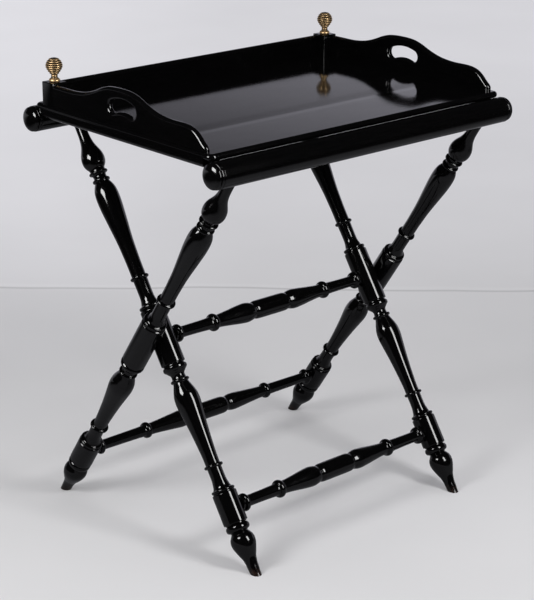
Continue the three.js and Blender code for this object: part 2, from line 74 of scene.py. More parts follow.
# Finial: a plain neck over a flanged base, with ribs above. Heights are measured from the post.
FINIAL_HIGH, FINIAL_RADIUS = 44.5, 16.4
RIBS, RIB_START, RIB_DEPTH, RIB_STEPS = 8, 13.3, 2.2, 10
RIB_PITCH = (FINIAL_HIGH - RIB_START) / RIBS
SWELL_SHARE, START_SHARE, TOP_SHARE = 0.65, 0.44, 0.36  # height of the widest rib; radii at the ends
FINIAL_NECK = 8.5
FINIAL_BASE = BOARD_TOP + POST_HIGH + 2 * SEAT

SIDES = (("left", -1), ("right", 1))
LEG_ROUND, STRETCHER_ROUND, RAIL_ROUND, FINIAL_ROUND = 96, 72, 112, 72  # points round each turning
LEAST_STEP = 0.02  # points of a turning that are closer than this are left out
ON_PLANE = 0.0005  # a point this close to a cut counts as lying on it
EDGE_LIP, SIDE_LIP = 0.4, 0.6  # narrow strips beside a rounded edge, past which the shading stays flat
TINY = 1e-6


# Outlines
def between(first, second, start, end, t):
    """The point at t on the straight run that has first at start and second at end."""
    return first * ((end - t) / (end - start)) + second * ((t - start) / (end - start))


def smooth_curve(points, step=1.5):
    """Points along a smooth curve through the given ones (centripetal Catmull-Rom)."""
    if len(points) < 3:
        return list(points)
    pts = [Vector(p) for p in points]
    pts = [pts[0] * 2 - pts[1]] + pts + [pts[-1] * 2 - pts[-2]]
    out = []
    for i in range(1, len(pts) - 2):
        p0, p1, p2, p3 = pts[i - 1:i + 3]
        t0 = 0.0
        t1 = t0 + max((p1 - p0).length, TINY) ** 0.5
        t2 = t1 + max((p2 - p1).length, TINY) ** 0.5
        t3 = t2 + max((p3 - p2).length, TINY) ** 0.5
        count = max(1, round((p2 - p1).length / step))
        for k in range(count):
            t = t1 + (t2 - t1) * k / count
            a1 = between(p0, p1, t0, t1, t)
            a2 = between(p1, p2, t1, t2, t)
            a3 = between(p2, p3, t2, t3, t)
            b1 = between(a1, a2, t0, t2, t)
            b2 = between(a2, a3, t1, t3, t)
            c = between(b1, b2, t1, t2, t)
            out.append((c.x, c.y))
    out.append((pts[-2].x, pts[-2].y))
    return out


def bead(start, end, peak, foot, steps=12):
    """A half-round swelling between two places along a turning."""
    middle, half = (start + end) / 2, (end - start) / 2
    angles = [math.pi * k / steps for k in range(steps + 1)]
    return [(middle - half * math.cos(a), foot + (peak - foot) * math.sin(a)) for a in angles]


def without_repeats(points, least):
    """The points, less those closer than least to the one kept before them."""
    out = [points[0]]
    for point in points[1:]:
        if math.dist(point, out[-1]) > least:
            out.append(point)
    return out


def outline(*runs):
    """One outline (along, radius) from runs: a list is a smooth curve, a tuple of pairs stays straight
    and a tuple of four numbers is a bead (start, end, peak, foot)."""
    out = []
    for run in runs:
        if isinstance(run, list):
            out += smooth_curve(run)
        elif isinstance(run[0], tuple):
            out += list(run)
        else:
            out += bead(*run)
    return without_repeats(out, LEAST_STEP)


def held(points, margin=0.35):
    """The outline with a point close to each end of its long straight parts, so that smooth shading
    bends only at their ends."""
    out = [points[0]]
    for a, b in zip(points, points[1:]):
        length = math.dist(a, b)
        if length > 6 * margin:
            for t in (margin / length, 1 - margin / length):
                out.append((a[0] + (b[0] - a[0]) * t, a[1] + (b[1] - a[1]) * t))
        out.append(b)
    return out


def mirrored(half):
    return [(-along, radius) for along, radius in reversed(half) if along > 0] + list(half)


def arc(centre, radius, start, end, steps):
    angles = [start + (end - start) * k / steps for k in range(steps + 1)]
    return [(centre[0] + radius * math.cos(a), centre[1] + radius * math.sin(a)) for a in angles]


def rounded_rectangle(half_x, half_y, radius, steps=12):
    out = []
    for right, back, quarter in ((1, 1, 0), (-1, 1, 1), (-1, -1, 2), (1, -1, 3)):
        centre = (right * (half_x - radius), back * (half_y - radius))
        out += arc(centre, radius, quarter * math.pi / 2, (quarter + 1) * math.pi / 2, steps)
    return out


def running(loop, anticlockwise):
    """The closed outline, turned round if it runs the other way."""
    area = sum(a[0] * b[1] - b[0] * a[1] for a, b in zip(loop, loop[1:] + loop[:1]))
    return loop if (area > 0) == anticlockwise else loop[::-1]


def offset(points, distance):
    """A closed outline moved inwards (to its left, as it runs) by a distance."""
    out = []
    count = len(points)
    for i in range(count):
        a, b, c = (Vector(points[j % count]) for j in (i - 1, i, i + 1))
        d1, d2 = (b - a).normalized(), (c - b).normalized()
        n = Vector((-d1.y, d1.x)) + Vector((-d2.y, d2.x))
        n = n / max(n.length_squared / 2, 0.5)  # the limit keeps a sharp corner from shooting out
        out.append((b.x + n.x * distance, b.y + n.y * distance))
    return out


# Meshes
def circle(bm, radius, height, sides):
    angles = [2 * math.pi * k / sides for k in range(sides)]
    return [bm.verts.new((radius * math.cos(a), radius * math.sin(a), height)) for a in angles]


def band(bm, low, high):
    """Faces between two rings that have as many points."""
    for k in range(len(low)):
        n = (k + 1) % len(low)
        bm.faces.new((low[k], low[n], high[n], high[k]))


def flat_faces(bm, *rings):
    """A flat face inside the first ring and outside the others."""
    verts = [v for ring in rings for v in ring]
    for triangle in tessellate_polygon([[v.co for v in ring] for ring in rings]):
        bm.faces.new([verts[i] for i in triangle])


def turned(points, sides):
    """A closed turned body about Z from (along, radius) points."""
    bm = bmesh.new()
    rings = [circle(bm, radius, along, sides) for along, radius in held(points)]
    for low, high in zip(rings, rings[1:]):
        band(bm, low, high)
    for ring in (rings[0][::-1], rings[-1]):
        centre = bm.verts.new((0, 0, ring[0].co.z))
        for k in range(sides):
            bm.faces.new((ring[k], ring[(k + 1) % sides], centre))
    return bm


def trim(bm, point, normal):
    """Cuts away what lies past a plane and closes the cut."""
    bmesh.ops.bisect_plane(bm, geom=bm.verts[:] + bm.edges[:] + bm.faces[:], plane_co=Vector(point),
                           plane_no=Vector(normal), clear_outer=True, dist=ON_PLANE)
    bmesh.ops.holes_fill(bm, edges=[e for e in bm.edges if e.is_boundary], sides=0)
    bmesh.ops.triangulate(bm, faces=[f for f in bm.faces if len(f.verts) > 4])


def edge_levels(thickness, low_round, high_round, steps, lip):
    """(inset, height) pairs that go round a plate's edge from its lower face to its upper one."""
    quarter = [math.pi / 2 * k / steps for k in range(steps + 1)]
    if low_round > 0:
        levels = [(low_round + lip, 0.0)]
        levels += [(low_round * (1 - math.sin(a)), low_round * (1 - math.cos(a))) for a in quarter]
    else:
        levels = [(0.0, 0.0)]
    if high_round > 0:
        levels += [(high_round * (1 - math.cos(a)), thickness - high_round * (1 - math.sin(a)))
                   for a in quarter]
        levels.append((high_round + lip, thickness))
    else:
        levels.append((0.0, thickness))
    return without_repeats(levels, 1e-4)


def plate(loops, thickness, low_round=0.0, high_round=0.0, steps=8, lip=EDGE_LIP):
    """A plate in X and Y with square, quarter-round or half-round edges. The first loop runs
    anticlockwise, the holes clockwise."""
    bm = bmesh.new()
    levels = edge_levels(thickness, low_round, high_round, steps, lip)
    lows, highs = [], []
    for loop in loops:
        rings = [[bm.verts.new((x, y, z)) for x, y in offset(loop, inset)] for inset, z in levels]
        for low, high in zip(rings, rings[1:]):
            band(bm, low, high)
        lows.append(rings[0])
        highs.append(rings[-1])
    flat_faces(bm, *lows)
    flat_faces(bm, *highs)
    return bm


def move(bm, x=0.0, y=0.0, z=0.0):
    bmesh.ops.translate(bm, vec=Vector((x, y, z)), verts=bm.verts)


def mesh_object(name, bm, material, matrix, sharp=40.0):
    """An object in metres from a mesh in millimetres, smooth but for edges over the sharp angle."""
    bmesh.ops.transform(bm, matrix=matrix, verts=bm.verts)
    bmesh.ops.recalc_face_normals(bm, faces=bm.faces)
    for face in bm.faces:
        face.smooth = True
    limit = math.radians(sharp)
    for edge in bm.edges:
        if len(edge.link_faces) == 2 and edge.calc_face_angle(0) > limit:
            edge.smooth = False
    mesh = bpy.data.meshes.new(name)
    bmesh.ops.scale(bm, vec=Vector((MM, MM, MM)), verts=bm.verts)
    bm.to_mesh(mesh)
    bm.free()
    obj = bpy.data.objects.new(name, mesh)
    bpy.context.scene.collection.objects.link(obj)
    obj.data.materials.append(material)
    return obj


# Shader nodes
def nodes_of(material):
    material.use_nodes = True
    tree = material.node_tree
    tree.nodes.clear()
    out = tree.nodes.new("ShaderNodeOutputMaterial")
    shader = tree.nodes.new("ShaderNodeBsdfPrincipled")
    tree.links.new(shader.outputs[0], out.inputs[0])
    return tree, shader


def feed(tree, socket, value):
    """Sets a number or a colour on a socket, or links an output to it."""
    if isinstance(value, (int, float)):
        socket.default_value = value
    elif isinstance(value, tuple):
        socket.default_value = (*value, 1)
    else:
        tree.links.new(value, socket)


def mix_colour(tree, factor, first, second):
    node = tree.nodes.new("ShaderNodeMix")
    node.data_type = "RGBA"
    for key, value in (("Factor", factor), ("A", first), ("B", second)):
        feed(tree, node.inputs[key], value)
    return node.outputs["Result"]


def ranged(tree, value, from_low, from_high, to_low, to_high, interpolation="LINEAR"):
    """The value carried from one range to another, and held at its ends."""
    node = tree.nodes.new("ShaderNodeMapRange")
    node.interpolation_type = interpolation
    tree.links.new(value, node.inputs["Value"])
    ends = (("From Min", from_low), ("From Max", from_high), ("To Min", to_low), ("To Max", to_high))
    for key, number in ends:
        node.inputs[key].default_value = number
    return node.outputs["Result"]


def smooth_step(tree, value, low, high, to_low=0.0, to_high=1.0):
    return ranged(tree, value, low, high, to_low, to_high, "SMOOTHSTEP")


def noise(tree, coords, scale, detail=4.0, stretch=(1, 1, 1), lean=0.0):
    mapping = tree.nodes.new("ShaderNodeMapping")
    mapping.vector_type = "TEXTURE"
    mapping.inputs["Scale"].default_value = stretch
    mapping.inputs["Rotation"].default_value = (lean, 0, 0)
    tree.links.new(coords, mapping.inputs["Vector"])
    node = tree.nodes.new("ShaderNodeTexNoise")
    node.inputs["Scale"].default_value = scale
    node.inputs["Detail"].default_value = detail
    tree.links.new(mapping.outputs[0], node.inputs["Vector"])
    return node.outputs["Fac"]


def math_node(tree, operation, first, second=0.0):
    node = tree.nodes.new("ShaderNodeMath")
    node.operation = operation
    feed(tree, node.inputs[0], first)
    feed(tree, node.inputs[1], second)
    return node.outputs[0]


def dot_with(tree, vector, direction):
    node = tree.nodes.new("ShaderNodeVectorMath")
    node.operation = "DOT_PRODUCT"
    tree.links.new(vector, node.inputs[0])
    node.inputs[1].default_value = direction
    return node.outputs["Value"]


def distance_from(tree, value, place):
    return math_node(tree, "ABSOLUTE", math_node(tree, "SUBTRACT", value, place))


def bump(tree, height, strength, distance, below=None):
    """A bump of a height, over another bump where one lies below."""
    node = tree.nodes.new("ShaderNodeBump")
    node.inputs["Strength"].default_value = strength
    node.inputs["Distance"].default_value = distance
    tree.links.new(height, node.inputs["Height"])
    if below is not None:
        tree.links.new(below, node.inputs["Normal"])
    return node.outputs[0]


def ramp_of(tree, value, low, high, stops):
    """A ramp of grey levels: stops are (place, level), places between low and high."""
    ramp = tree.nodes.new("ShaderNodeValToRGB")
    tree.links.new(ranged(tree, value, low, high, 0.0, 1.0), ramp.inputs[0])
    elements = ramp.color_ramp.elements
    places = [((at - low) / (high - low), level) for at, level in stops]
    for element, (place, level) in zip((elements[0], elements[1]), (places[0], places[-1])):
        element.position = place
        element.color = (level, level, level, 1)
    for place, level in places[1:-1]:
        elements.new(place).color = (level, level, level, 1)
    return ramp.outputs[0]


# Lacquer: lengths in metres. A noise is given by its scale per metre and its detail.
LACQUER_DARK, LACQUER_LIGHT = (0.0008, 0.0008, 0.0009), (0.0018, 0.0017, 0.0018)
LACQUER_IOR = 1.45
BARE_FOOT = (0.020, 0.012, 0.009)  # lacquer worn off the foot of a leg
WORN_FROM, WORN_TO, WORN_RAGGED = 0.000, 0.012, 0.012  # heights, and how far they wander
GRAIN, CLOUD, FINE, RAGGED = (420.0, 5.0), (9.0, 3.0), (900.0, 2.0), (260.0, 5.0)
GRAIN_STRETCH, GRAIN_LOW, GRAIN_HIGH = 16, 0.35, 0.65
NOISE_LOW, NOISE_HIGH = 0.3, 0.7  # most of a noise lies between these
CLOUD_SHARE, FINE_SHARE, CLOUD_RISE = 0.6, 0.4, 2.0  # two in the roughness, one in the bump
BUMP_DEPTH = 0.0002

# The board is glued up from two planks. Its surface sinks by a hair towards the joint and rises past it,
# in front, by a small step and then a slope, which only its reflections show.
JOINT_Y, JOINT_SLOPE = -0.1195, 0.0096
STEP_RUN, STEP_RISE = 0.02, 0.00009
SINK_RUN, SINK_DEPTH = 0.04, 0.00012


def joint_bump(tree, along_y):
    past = math_node(tree, "SUBTRACT", JOINT_Y, along_y)
    height = math_node(tree, "MULTIPLY", math_node(tree, "MAXIMUM", past, 0.0), JOINT_SLOPE)
    height = math_node(tree, "ADD", height, smooth_step(tree, past, 0.0, STEP_RUN, 0.0, STEP_RISE))
    sink = smooth_step(tree, past, -SINK_RUN, 0.0, 0.0, SINK_DEPTH)
    return bump(tree, math_node(tree, "SUBTRACT", height, sink), 1.0, 1.0)


def lacquer(name, grain, roughness=0.10, spread=0.04, lean=0.0, worn_foot=False, strength=0.05,
            jointed=False):
    """Black lacquer over turned or sawn wood: nearly mirror smooth, with the grain just telegraphing."""
    material = bpy.data.materials.new(name)
    tree, shader = nodes_of(material)
    coords = tree.nodes.new("ShaderNodeTexCoord").outputs["Object"]
    place = tree.nodes.new("ShaderNodeSeparateXYZ")
    tree.links.new(coords, place.inputs[0])
    stretch = tuple(GRAIN_STRETCH if axis == grain else 1 for axis in "xyz")
    grain_lines = noise(tree, coords, *GRAIN, stretch, lean)
    cloud = noise(tree, coords, *CLOUD)
    fine = noise(tree, coords, *FINE)
    grain_shade = ranged(tree, grain_lines, GRAIN_LOW, GRAIN_HIGH, 0.0, 1.0)
    shade = mix_colour(tree, grain_shade, LACQUER_DARK, LACQUER_LIGHT)
    if worn_foot:
        ragged = ranged(tree, noise(tree, coords, *RAGGED), NOISE_LOW, NOISE_HIGH, -WORN_RAGGED, WORN_RAGGED)
        height = math_node(tree, "ADD", place.outputs["Z"], ragged)
        shade = mix_colour(tree, ranged(tree, height, WORN_FROM, WORN_TO, 1.0, 0.0), shade, BARE_FOOT)
    tree.links.new(shade, shader.inputs["Base Color"])
    mixed = math_node(tree, "ADD", math_node(tree, "MULTIPLY", cloud, CLOUD_SHARE),
                      math_node(tree, "MULTIPLY", fine, FINE_SHARE))
    rough = ranged(tree, mixed, NOISE_LOW, NOISE_HIGH, roughness - spread / 2, roughness + spread / 2)
    tree.links.new(rough, shader.inputs["Roughness"])
    shader.inputs["IOR"].default_value = LACQUER_IOR
    height = math_node(tree, "ADD", grain_lines, math_node(tree, "MULTIPLY", cloud, CLOUD_RISE))
    below = joint_bump(tree, place.outputs["Y"]) if jointed else None
    tree.links.new(bump(tree, height, strength, BUMP_DEPTH, below), shader.inputs["Normal"])
    return material


# Metal: lengths in metres
TARNISH = (0.016, 0.010, 0.006)
GROOVE_FROM, GROOVE_FULL = 0.18, 0.34  # tarnish begins and is full this far from a rib's crest, in ribs
LOWEST_GROOVE = -0.2  # in ribs above the first groove
NECK_TARNISH, NECK_REACH = 0.9, 0.004  # tarnish round the neck fades out over this length
PATINA, PATINA_LOW, PATINA_HIGH, PATINA_SHARE = (300.0, 3.0), 0.3, 0.8, 0.35
TURNING, TURNING_STRETCH, TURNING_BUMP = (1440.0, 3.0), (6, 6, 1), 0.02
SMOOTHER, ROUGHER = 0.8, 1.4  # shares of a metal's roughness that its turning lines reach


def tarnish_mask(tree, height):
    """Where tarnish lies on a finial: in the grooves between its ribs and round its neck."""
    base, first, pitch = (length * MM for length in (FINIAL_BASE, RIB_START, RIB_PITCH))
    turns = math_node(tree, "DIVIDE", math_node(tree, "SUBTRACT", height, base + first), pitch)
    from_crest = distance_from(tree, math_node(tree, "FRACT", turns), 0.5)
    groove = math_node(tree, "MULTIPLY", smooth_step(tree, from_crest, GROOVE_FROM, GROOVE_FULL),
                       math_node(tree, "GREATER_THAN", turns, LOWEST_GROOVE))
    from_neck = distance_from(tree, height, base + FINIAL_NECK * MM)
    neck = smooth_step(tree, from_neck, 0.0, NECK_REACH, NECK_TARNISH, 0.0)
    return math_node(tree, "MAXIMUM", groove, neck)


def metal(name, colour, dark, roughness, metallic=1.0, ribbed=False):
    """Worn metal with a patina and fine turning lines, and tarnish where it is ribbed."""
    material = bpy.data.materials.new(name)
    tree, shader = nodes_of(material)
    coords = tree.nodes.new("ShaderNodeTexCoord").outputs["Object"]
    patina = ranged(tree, noise(tree, coords, *PATINA), PATINA_LOW, PATINA_HIGH, 0.0, PATINA_SHARE)
    lines = noise(tree, coords, *TURNING, TURNING_STRETCH)
    shade = mix_colour(tree, patina, colour, dark)
    if ribbed:
        place = tree.nodes.new("ShaderNodeSeparateXYZ")
        tree.links.new(coords, place.inputs[0])
        shade = mix_colour(tree, tarnish_mask(tree, place.outputs["Z"]), shade, TARNISH)
    tree.links.new(shade, shader.inputs["Base Color"])
    shader.inputs["Metallic"].default_value = metallic
    rough = ranged(tree, lines, NOISE_LOW, NOISE_HIGH, roughness * SMOOTHER, roughness * ROUGHER)
    tree.links.new(rough, shader.inputs["Roughness"])
    tree.links.new(bump(tree, lines, TURNING_BUMP, BUMP_DEPTH), shader.inputs["Normal"])
    return material


lacquer_inner_leg = lacquer("black_lacquer_inner_leg", "z", roughness=0.09, lean=-TILT, worn_foot=True)
lacquer_outer_leg = lacquer("black_lacquer_outer_leg", "z", roughness=0.09, lean=TILT, worn_foot=True)
lacquer_board = lacquer("black_lacquer_board", "x", roughness=0.08, spread=0.05, strength=0.16,
                        jointed=True)
lacquer_x = lacquer("black_lacquer_along_x", "x")
lacquer_y = lacquer("black_lacquer_along_y", "y")
lacquer_z = lacquer("black_lacquer_along_z", "z")
brass = metal("aged_brass", (0.54, 0.365, 0.185), (0.28, 0.18, 0.09), roughness=0.33, metallic=0.75,
              ribbed=True)
steel = metal("plain_steel", (0.36, 0.36, 0.38), (0.25, 0.25, 0.26), roughness=0.35)


def piece(obj, body, slot, *nodes):
    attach(obj, body)
    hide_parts(*nodes)
    return obj


# Turned outlines, (along, radius). A leg's runs from its foot to the tenon in its rail.
LEG = outline(
    [(-14, 9.8), (0, 10.0), (10, 10.6), (20, 11.2), (27, 12.3), (33, 13.8), (38, 16.0), (46, 19.2),
     (54, 22.1), (60, 23.5), (65, 23.85), (70, 23.2), (74, 21.9), (77, 20.0), (80, 17.9), (83, 16.1)],
    (85, 98.6, 23.2, 18),
    ((99.6, 20.5), (101.0, 20.5), (101.5, 23.0), (102.5, 23.6),
     (160.5, 23.6), (161.5, 23.2), (162.5, 21.4), (163.8, 21.4)),
    (164, 170, 22.9, 19.5),
    [(171, 18.0), (174, 16.5), (178, 15.6), (184, 14.5), (190, 13.95), (212, 13.9)],
    (212.3, 219, 18.5, 14.5),
    [(219.5, 14.0), (234, 14.1), (250, 15.0), (270, 16.4), (290, 18.1), (310, 20.2), (330, 22.6),
     (340, 23.7), (347, 24.1), (353, 23.9), (361, 22.9), (368, 20.9), (375, 18.5), (380, 16.5),
     (385, 14.8)],
    (386, 392, 18.4, 15.5),
    [(393, 14.0), (397, 13.2), (401, 13.7), (404, 15.6)],
    [(405, 17), (407, 18.4), (409, 20.6), (411.5, 23), (414, 23.6), (417, 23.5), (419, 21.6)],
    ((420.5, 20.5), (422, 20.5), (423.2, 23.2), (424, 23.7),
     (533, 23.7), (534.4, 23.2), (535.5, 21.4), (537.3, 21.3)),
    (537.6, 543.6, 22.8, 20.3),
    [(544, 18.5), (546, 16.8), (550, 15.8), (554, 14.7), (559, 13.9), (596, 13.9)],
    (596.6, 603.4, 18.3, 14.6),
    [(604, 13.9), (632, 14.1), (650, 14.7), (670, 15.5), (690, 17.0), (710, 18.9), (730, 20.7),
     (745, 22.0), (758, 22.6), (767, 22.7), (776, 22.2), (783, 21.1), (789, 19.1), (794, 16.8),
     (798.5, 14.3)],
    (799.3, 805.3, 17.3, 14.6),
    [(806.5, 13.4), (810, 12.5), (813.5, 13.4), (815, 14.4)],
    (815.3, 821, 18.5, 15),
    [(822, 14.8), (826, 15.4), (830, 18.2), (834, 20.4), (838, 21.8), (843, 22.5), (848, 22.5),
     (854, 21.6), (860, 19.7), (866, 17.2), (872, 14.8), (878, 13.0), (886, 11.5), (895, 10.7),
     (905, 10.4)],
    ((915, 10.4), (LEG_TOP, 10.4)),
)

# Stretchers, from the middle out to the leg's block
STRETCHER = outline(
    [(0, 18.4), (25, 18.4), (35, 18.2), (38, 17.9), (41, 17.1)],
    ((44, 15.8), (46, 15.9)),
    [(48.5, 16.8), (51, 17.7), (54, 18.4), (57, 19.0), (61, 19.5), (66, 19.6), (72, 19.2), (80, 18.5),
     (90, 17.4), (100, 16.1), (110, 15.0), (120, 13.9), (128, 13.2), (133, 13.0), (137.8, 13.2)],
    [(139.2, 13.6), (140.2, 14.2)],
    (140.4, 152.7, 17.6, 13.6),
    [(153.4, 12.9), (156, 12.3), (162, 11.9), (170, 11.6), (180, 11.3), (200, 11.0), (222, 11.0),
     (227, 11.3), (229.5, 12.0)],
    (230.6, 240.6, 17.5, 13.2),
    [(241.4, 13.2), (244, 13.5), (246.6, 13.6)],
)

REAR_STRETCHER = outline(
    [(0, 18.0), (36, 18.0), (41, 17.7), (44.5, 17.0)],
    [(48, 15.5), (51, 14.9), (54, 15.2)],
    [(57, 16.3), (60, 17.0), (65, 17.7), (71, 17.9), (78, 17.7), (86, 17.0), (96, 16.2), (110, 15.0),
     (125, 13.8), (140, 12.7), (150, 12.3), (156, 12.4)],
    (157.4, 169.9, 16.8, 12.6),
    [(171, 12.0), (176, 11.6), (185, 11.3), (205, 11.0), (240, 10.7), (268, 10.5), (274, 10.8),
     (277.4, 11.6)],
    (278.6, 287.8, 17.0, 12.8),
    [(288.6, 12.8), (291, 13.0), (293.0, 13.1)],
)

# The end of a rail, inward from its tip: a dome, a groove and a bead
DOME_LONG, DOME_RADIUS = 9.5, 23.6
DOME_ANGLES = [math.radians(degrees) for degrees in range(3, 91, 3)]
RAIL_END = [(DOME_LONG * (1 - math.cos(a)), DOME_RADIUS * math.sin(a)) for a in DOME_ANGLES]
RAIL_END += outline(
    ((10.0, 23.6), (10.6, 22.6), (11.3, 21.6), (12.1, 22.4)),
    (12.5, 17.6, 24.7, 23.4),
    ((18.1, 23.3), (18.8, 24.3), (19.6, 24.7)),
)

ALONG_X = Matrix.Rotation(math.pi / 2, 4, "Y")


# Stand
def leg(name, side, inner):
    bm = turned(LEG, LEG_ROUND)
    lean = -TILT if inner else TILT
    flat_side = side if inner else -side
    for v in bm.verts:
        if PIVOT_BLOCK[0] < v.co.z < PIVOT_BLOCK[1] and v.co.x * flat_side > PIVOT_FLAT:
            v.co.x = flat_side * PIVOT_FLAT
    trim(bm, (0, 0, 0), Matrix.Rotation(-lean, 4, "X") @ Vector((0, 0, -1)))
    foot = (side * (INNER_X if inner else OUTER_X), -FOOT_SPREAD if inner else FOOT_SPREAD, 0)
    material = lacquer_inner_leg if inner else lacquer_outer_leg
    return mesh_object(name, bm, material, Matrix.Translation(foot) @ Matrix.Rotation(lean, 4, "X"))


def stretcher(name, half, tenon_radius, tenon_end, y, z):
    shoulder = half[-1][0] + SEAT
    full = mirrored(half + [(shoulder, tenon_radius), (tenon_end, tenon_radius)])
    place = Matrix.Translation((0, y, z)) @ ALONG_X
    return mesh_object(name, turned(full, STRETCHER_ROUND), lacquer_x, place)


def rail(name, y):
    half = [(0, RAIL_RADIUS)] + [(RAIL_HALF - inward, radius) for inward, radius in reversed(RAIL_END)]
    place = Matrix.Translation((0, y, RAIL_HEIGHT)) @ ALONG_X
    return mesh_object(name, turned(mirrored(half), RAIL_ROUND), lacquer_x, place)


def stand_piece(obj, body):
    """Stands in for the node of its name."""
    return piece(obj, body, "ebonised_wood", obj.name.replace("fine_", ""))


for side_name, side in SIDES:
    stand_piece(leg(f"fine_inner_leg_{side_name}", side, True), "inner_frame")
    stand_piece(leg(f"fine_outer_leg_{side_name}", side, False), "outer_frame")
stand_piece(stretcher("fine_front_stretcher", STRETCHER, STRETCHER_TENON, INNER_X + TENON_REACH,
                      -STRETCHER_Y, STRETCHER_Z), "inner_frame")
stand_piece(stretcher("fine_pivot_stretcher", STRETCHER, PIVOT_PIN, PIVOT_REACH, 0, PIVOT_HEIGHT),
            "inner_frame")
stand_piece(stretcher("fine_rear_stretcher", REAR_STRETCHER, STRETCHER_TENON, OUTER_X + TENON_REACH,
                      STRETCHER_Y, STRETCHER_Z), "outer_frame")
stand_piece(rail("fine_back_rail", RAIL_SPREAD), "inner_frame")
stand_piece(rail("fine_front_rail", -RAIL_SPREAD), "outer_frame")


# Tray. Plates are drawn in X and Y and stood up by swapping axes.
IN_YZ = Matrix(((0, 0, 1, 0), (1, 0, 0, 0), (0, 1, 0, 0), (0, 0, 0, 1)))
IN_XZ = Matrix(((1, 0, 0, 0), (0, 0, 1, 0), (0, 1, 0, 0), (0, 0, 0, 1)))


def tray_piece(name, bm, material, place=(0, 0, 0), turn=0.0, slot="ebonised_wood", sharp=40.0):
    """Stands in for the node of its name, at a place on the board, turned about Z."""
    matrix = Matrix.Translation((0, 0, BOARD_TOP)) @ Matrix.Translation(place)
    matrix = matrix @ Matrix.Rotation(turn, 4, "Z")
    return piece(mesh_object(name, bm, material, matrix, sharp), "tray", slot, name.replace("fine_", ""))


# The board's half-round edge is square below along the cleats, and a little past their ends
FLUSH, FLUSH_STEP = CLEAT_HALF + 0.2, 0.2
BOARD_ROUND, BOARD_LIP = BOARD_THICK / 2, 1.0


def board_outline():
    corners = rounded_rectangle(BOARD_X, BOARD_Y, BOARD_CORNER)
    out = []
    for a, b in zip(corners, corners[1:] + corners[:1]):
        out.append(a)
        if abs(a[0] - b[0]) < TINY and abs(a[1] - b[1]) > 2 * CLEAT_HALF:
            turn = 1 if b[1] > a[1] else -1
            out += [(a[0], turn * y) for y in (-FLUSH - FLUSH_STEP, -FLUSH, FLUSH, FLUSH + FLUSH_STEP)]
    return out


def board():
    bm = plate([board_outline()], BOARD_THICK, BOARD_ROUND, BOARD_ROUND, steps=12, lip=BOARD_LIP)
    for v in bm.verts:
        in_edge = abs(v.co.x) > BOARD_X - BOARD_ROUND - BOARD_LIP / 2 and v.co.z < BOARD_THICK / 2
        if in_edge and abs(v.co.y) < FLUSH + FLUSH_STEP / 2:
            v.co.x = math.copysign(BOARD_X, v.co.x)
    move(bm, z=-BOARD_THICK)
    return tray_piece("fine_tray_board", bm, lacquer_board)


# Toe of a side gallery, (along from its front end, up), and hump, in shares of its half length and rise
TOE = [(0.0, 5.4), (0.8, 7.4), (2.2, 9.6), (6.0, 13.0), (12.0, 18.0), (19.0, 24.9), (27.0, 31.1),
       (36.0, 35.8), (48.0, 38.9), (62.0, 40.3)]
HUMP_SHARES = [(0, 1), (0.12, 0.985), (0.25, 0.915), (0.375, 0.745), (0.5, 0.5), (0.625, 0.285),
               (0.75, 0.13), (0.87, 0.045), (1, 0)]
TOE_FOOT = 3.0  # the toe's front face is straight up to here
SPARE_BELOW, SPARE_BEHIND = 12.0, 10.0  # a gallery is drawn too large by about this, then trimmed
LEVEL_RUN = 30.0  # its last stretch, which is level


def hump_points():
    rise = HUMP_HIGH - GALLERY_HIGH
    back = [(HUMP_Y + along * HUMP_HALF, GALLERY_TOP + up * rise) for along, up in HUMP_SHARES]
    front = [(2 * HUMP_Y - y, z) for y, z in back[:0:-1]]
    return front + back


def gallery_outline():
    toe, end = -GALLERY_FRONT, GALLERY_BACK - POST_WIDE + SPARE_BEHIND
    edge = [(toe + y, z) for y, z in TOE] + hump_points()
    edge += [(end - LEVEL_RUN, GALLERY_TOP), (end, GALLERY_TOP)]
    return [(toe, -SPARE_BELOW), (toe, TOE_FOOT)] + smooth_curve(edge, step=2.5) + [(end, -SPARE_BELOW)]


def handhole():
    """A slot bent along an arc, with round ends."""
    reach, half_run = HOLE_HIGH / 2, (HOLE_LONG - HOLE_HIGH) / 2
    bend = (half_run ** 2 + HOLE_BOW ** 2) / (2 * HOLE_BOW)
    sweep = math.asin(half_run / bend)
    centre = (HOLE_Y, HOLE_MIDDLE + SEAT - bend)
    low, high = math.pi / 2 - sweep, math.pi / 2 + sweep
    low_end, high_end = ((centre[0] + bend * math.cos(a), centre[1] + bend * math.sin(a))
                         for a in (low, high))
    hole = arc(centre, bend + reach, low, high, steps=28)[:-1]
    hole += arc(high_end, reach, high, high + math.pi, steps=16)[:-1]
    hole += arc(centre, bend - reach, high, low, steps=22)[:-1]
    hole += arc(low_end, reach, low + math.pi, low + 2 * math.pi, steps=16)[:-1]
    return hole


def side_gallery(side_name, side):
    loops = [running(gallery_outline(), True), running(handhole(), False)]
    bm = plate(loops, GALLERY_THICK, GALLERY_ROUND, GALLERY_ROUND, steps=10)
    bmesh.ops.transform(bm, matrix=IN_YZ, verts=bm.verts)
    move(bm, x=GALLERY_X - GALLERY_THICK)
    trim(bm, (0, 0, SEAT - HOUSING), (0, 0, -1))
    trim(bm, (0, GALLERY_BACK - POST_WIDE - BUTT, 0), (0, 1, 0))
    if side < 0:
        bmesh.ops.scale(bm, vec=Vector((-1, 1, 1)), verts=bm.verts)
    return tray_piece(f"fine_side_gallery_{side_name}", bm, lacquer_y)


def bar(name, section, half_length, swap, material):
    """A straight bar of one section, with square ends."""
    bm = plate([running(section, True)], 2 * half_length)
    move(bm, z=-half_length)
    bmesh.ops.transform(bm, matrix=swap, verts=bm.verts)
    return tray_piece(name, bm, material)


